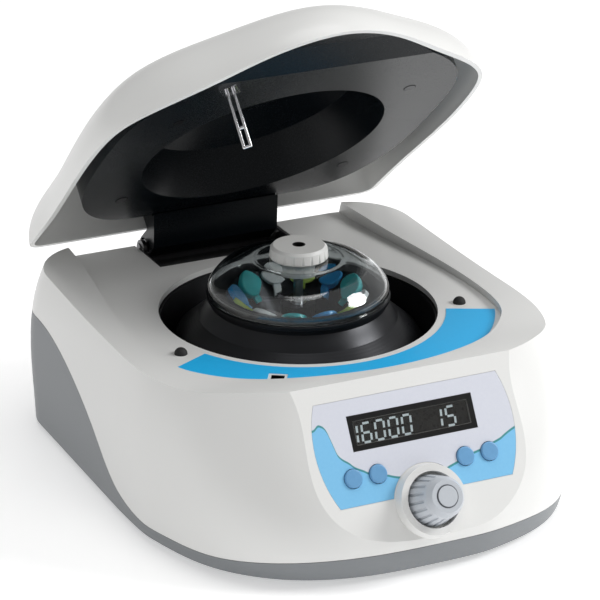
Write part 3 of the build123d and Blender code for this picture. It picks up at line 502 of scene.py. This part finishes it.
# %% Give each solid its finish
FINISHES = {
    housing_slot_shaded: ["upper_housing"],
    white_plastic: ["lid_shell"],
    base_plastic: ["base_pan"],
    liner_plastic: ["lid_liner", "hinge_block"],
    trough_plastic: ["hinge_trough", "latch_frame"],
    part_plastic: ["mains_inlet", "switch_frame", "power_rocker", "button_switches", "encoder_body",
                   "board_parts", "latch_solenoid"],
    rubber: ["rubber_feet", "deck_bumpers", "motor_dampers", "bowl_gasket"],
    knob_grey: ["front_knob", "knob_cap"],
    knob_white: ["rotor_knob"],
    bowl_metal: ["rotor_bowl"],
    rotor_metal: ["rotor_body"],
    motor_metal: ["motor_can"],
    steel: ["guard_ring", "motor_plate", "motor_shaft", "latch_bolt", "encoder_shaft"],
    hinge_steel: ["hinge_pin", "hinge_bracket", "torsion_springs"],
    chrome: ["lid_striker"],
    screw_metal: ["housing_screws", "plate_screws", "motor_screws", "board_screws"],
    screw_black: ["liner_screws"],
    lid_clear: ["rotor_lid"],
    window_clear: ["display_window"],
    panel_print: ["panel_overlay"],
    label_print: ["deck_label"],
    button_blue: ["button_left_outer", "button_left_inner", "button_right_inner",
                  "button_right_outer"],
    display_dark: ["display_module"],
    board_green: ["control_board", "drive_board"],
    tube_finishes["teal"]: ["tubes_teal"],
    tube_finishes["blue"]: ["tubes_blue"],
    tube_finishes["green"]: ["tubes_green"],
    tube_finishes["natural"]: ["tubes_natural"],
}
for finish, names in FINISHES.items():
    for name in names:
        for slot_of_mesh in nodes[name].material_slots:
            slot_of_mesh.material = finish
finished = {n for names in FINISHES.values() for n in names}
print("nodes without a finish", sorted(set(nodes) - finished))

# %% [markdown]
# ## Figures on the display
# The display shows two plain numbers made of slanted bars. Each bar is a flat six-sided
# prism. The letters a to g name the bars of a figure in the usual order: top, upper right,
# lower right, bottom, lower left, upper left and middle. The bars lie on the display's face,
# just under the clear window.

# %% Display figures
FIGURE_BARS = {"0": "abcdef", "1": "bc", "5": "acdfg", "6": "acdefg"}
FIGURE_HEIGHT = 9.3
FIGURE_WIDTH = 4.7
FIGURE_STEP = 7.4
FIGURE_STROKE = 1.1
FIGURE_GAP = 0.12
FIGURE_SLANT = 0.10
FIGURE_LIFT = -0.84
FIGURE_THICKNESS = 0.16
FIGURE_BOTTOM = -5.2
FIGURE_COLOUR = rgb(0.72, 0.83, 0.88)
FIGURE_GLOW = 0.62
LEFT_NUMBER = ("16000", -35.4)
RIGHT_NUMBER = ("15", 11.2)
BAR_ENDS = {
    "a": ((0, 1), (1, 1)), "b": ((1, 1), (1, 0.5)), "c": ((1, 0.5), (1, 0)), "d": ((0, 0), (1, 0)),
    "e": ((0, 0), (0, 0.5)), "f": ((0, 0.5), (0, 1)), "g": ((0, 0.5), (1, 0.5)),
}


def add_bar(mesh, start, end):
    """One six-sided bar between two places on the panel, in millimetres."""
    corners = bmesh.ops.create_circle(mesh, cap_ends=True, segments=6, radius=1.0)["verts"]
    along = Vector(end) - Vector(start)
    half = along.length / 2 - FIGURE_GAP
    direction = along.normalized()
    side = Vector((-direction.y, direction.x))
    middle = (Vector(start) + Vector(end)) / 2
    for corner in corners:
        tip = abs(corner.co.y) < 0.1
        reach = half if tip else half - FIGURE_STROKE / 2
        offset = 0.0 if tip else math.copysign(FIGURE_STROKE / 2, corner.co.y)
        flat = middle + direction * math.copysign(reach, corner.co.x) + side * offset
        corner.co = on_panel(flat.x, flat.y, FIGURE_LIFT)
    faces = [f for f in mesh.faces if corners[0] in f.verts]
    raised = bmesh.ops.extrude_face_region(mesh, geom=faces)
    tops = [v for v in raised["geom"] if isinstance(v, bmesh.types.BMVert)]
    bmesh.ops.translate(mesh, verts=tops, vec=PANEL_OUT * FIGURE_THICKNESS * MM)


def add_number(mesh, text, left):
    """A row of figures that starts so many millimetres across the panel."""
    for i, figure in enumerate(text):
        for name in FIGURE_BARS[figure]:
            ends = []
            for across, up in BAR_ENDS[name]:
                rise = up * FIGURE_HEIGHT
                start = left + i * FIGURE_STEP + across * FIGURE_WIDTH
                ends.append((start + rise * FIGURE_SLANT, FIGURE_BOTTOM + rise))
            add_bar(mesh, *ends)


def piece_from(name, mesh, finish, body):
    """Turn a bmesh into an object that rides on a body."""
    bmesh.ops.recalc_face_normals(mesh, faces=mesh.faces)
    data = bpy.data.meshes.new(name)
    mesh.to_mesh(data)
    mesh.free()
    data.materials.append(finish)
    thing = bpy.data.objects.new(name, data)
    SCENE.collection.objects.link(thing)
    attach(thing, body)


def lit_figures():
    """The pale light of the figures."""
    finish = Finish.new("figure_light")
    finish.set(Base_Color=FIGURE_COLOUR, Roughness=0.4 + finish.noise(400.0) * 0.1)
    finish.set(Emission_Color=FIGURE_COLOUR, Emission_Strength=FIGURE_GLOW)
    return finish.material


figures = bmesh.new()
add_number(figures, *LEFT_NUMBER)
add_number(figures, *RIGHT_NUMBER)
piece_from("display_figures", figures, lit_figures(), "base")
print("figures made")

# %% [markdown]
# ## Rear lip of the hinge trough
# Behind the hinge the black trough turns up into a low lip, which closes the view under the
# hinge block. It is bent from a strip: a flat foot, an upright wall and rounded edges.

# %% Trough lip
LIP_HALF = 0.0414
LIP_FOOT = (0.1085 + SPINDLE_Y, 0.0717)
LIP_WALL_Y = 0.1168 + SPINDLE_Y
LIP_TOP = 0.0765
LIP_THICKNESS = 0.0010
LIP_ROUNDING = 0.0002

lip = bmesh.new()
strip = bmesh.ops.create_grid(lip, x_segments=1, y_segments=1, size=1.0)["verts"]
for corner in strip:
    side = math.copysign(LIP_HALF, corner.co.x)
    depth = LIP_FOOT[0] if corner.co.y < 0 else LIP_WALL_Y
    corner.co = (side, depth, LIP_FOOT[1])
back_edge = [e for e in lip.edges if all(abs(v.co.y - LIP_WALL_Y) < 1e-6 for v in e.verts)]
risen = bmesh.ops.extrude_edge_only(lip, edges=back_edge)
top_corners = [v for v in risen["geom"] if isinstance(v, bmesh.types.BMVert)]
bmesh.ops.translate(lip, verts=top_corners, vec=(0, 0, LIP_TOP - LIP_FOOT[1]))
bmesh.ops.recalc_face_normals(lip, faces=lip.faces)
bmesh.ops.solidify(lip, geom=lip.faces, thickness=LIP_THICKNESS)
bmesh.ops.bevel(lip, geom=lip.edges, offset=LIP_ROUNDING, segments=2, profile=0.5,
                affect="EDGES", material=-1)
piece_from("hinge_trough_lip", lip, trough_plastic, "base")
print("trough lip made")

# %% [markdown]
# ## Floor and light
# The floor is plain and near white. To the camera the background is pure white, and the
# object's soft shadow stays on it. One large soft lamp stands at the right and in front, as in
# the photograph, where the front is bright and the left side is in half shade.

# %% Floor, backdrop and lamps
WHITE = rgb(1, 1, 1)
FLOOR_SIZE = 14.0
FLOOR_COLOUR = rgb(0.92, 0.92, 0.92)
FLOOR_GLOW = 0.40
SKY_FOR_LIGHT = 0.33
SKY_FOR_CAMERA = 1.0
LAMP_AIM = Vector((0, 0, 0.08))
# Each lamp's place, the width of its disk and its power in watts.
LAMPS = {
    "key": ((1.75, -0.75, 1.35), 1.0, 32),
    "top": ((0.1, 0.2, 1.9), 1.3, 11),
    "fill": ((-1.6, -0.8, 0.9), 1.2, 2),
}

floor_finish = Finish.new("floor")
floor_finish.set(Base_Color=FLOOR_COLOUR, Roughness=0.9)
floor_finish.set(Emission_Color=WHITE, Emission_Strength=FLOOR_GLOW)
bpy.ops.mesh.primitive_plane_add(size=FLOOR_SIZE, location=(0, 0, 0))
floor = bpy.context.object
floor.name = "floor"
floor.data.materials.append(floor_finish.material)

world = bpy.data.worlds.new("world")
SCENE.world = world
world.use_nodes = True
tree = world.node_tree
background = tree.nodes["Background"]
background.inputs["Color"].default_value = WHITE
seen = tree.nodes.new("ShaderNodeLightPath")
level = tree.nodes.new("ShaderNodeMath")
level.operation = "MULTIPLY_ADD"
level.inputs[1].default_value = SKY_FOR_CAMERA - SKY_FOR_LIGHT
level.inputs[2].default_value = SKY_FOR_LIGHT
tree.links.new(seen.outputs["Is Camera Ray"], level.inputs[0])
tree.links.new(level.outputs[0], background.inputs["Strength"])


def lamp(name, place, size, power):
    """A round soft lamp that points at the object."""
    data = bpy.data.lights.new(name, "AREA")
    data.shape = "DISK"
    data.size = size
    data.energy = power
    thing = bpy.data.objects.new(name, data)
    SCENE.collection.objects.link(thing)
    thing.location = place
    thing.rotation_euler = (LAMP_AIM - Vector(place)).to_track_quat("-Z", "Y").to_euler()


for name, (place, size, power) in LAMPS.items():
    lamp(name, place, size, power)
SCENE.view_settings.view_transform = "Standard"
print("lamps", len(LAMPS))
